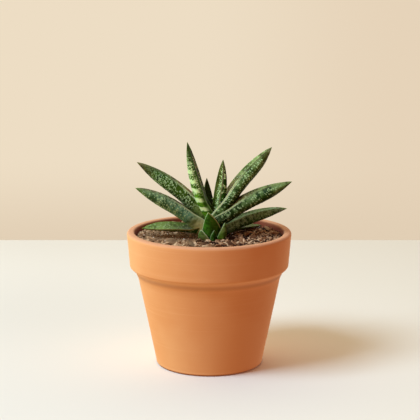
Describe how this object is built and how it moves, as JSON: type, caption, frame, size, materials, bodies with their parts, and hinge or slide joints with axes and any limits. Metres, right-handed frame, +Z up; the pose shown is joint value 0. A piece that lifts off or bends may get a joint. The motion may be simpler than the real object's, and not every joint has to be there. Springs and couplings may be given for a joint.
{
  "type": "potted succulent",
  "caption": "Small rosette of thick, keeled, white-flecked succulent leaves in gritty soil, in a tapered clay pot with a deep collar.",
  "frame": {"origin": "middle of the pot's underside, where its axis meets the surface it stands on", "axes": "+Z up along the pot's axis, -Y towards the viewer, +X to the right, where the widest leaves reach out"},
  "size_m": [0.11, 0.1098, 0.1511],
  "materials": {
    "terracotta": "matte",
    "potting_soil": "matte",
    "leaf_green": "satin",
    "stem_green": "satin"
  },
  "bodies": {
    "root": {"pot": "terracotta", "soil": "potting_soil", "stem": "stem_green", "leaf_left_low": "leaf_green", "leaf_left_lower": "leaf_green", "leaf_left_upper": "leaf_green", "leaf_tall": "leaf_green", "leaf_back_centre": "leaf_green", "leaf_upright": "leaf_green", "leaf_right_upper": "leaf_green", "leaf_right_middle": "leaf_green", "leaf_right_lower": "leaf_green", "leaf_right_low": "leaf_green", "leaf_back_low": "leaf_green", "leaf_front": "leaf_green", "leaf_front_right": "leaf_green", "leaf_front_left": "leaf_green", "leaf_front_small": "leaf_green"}
  },
  "joints": []
}
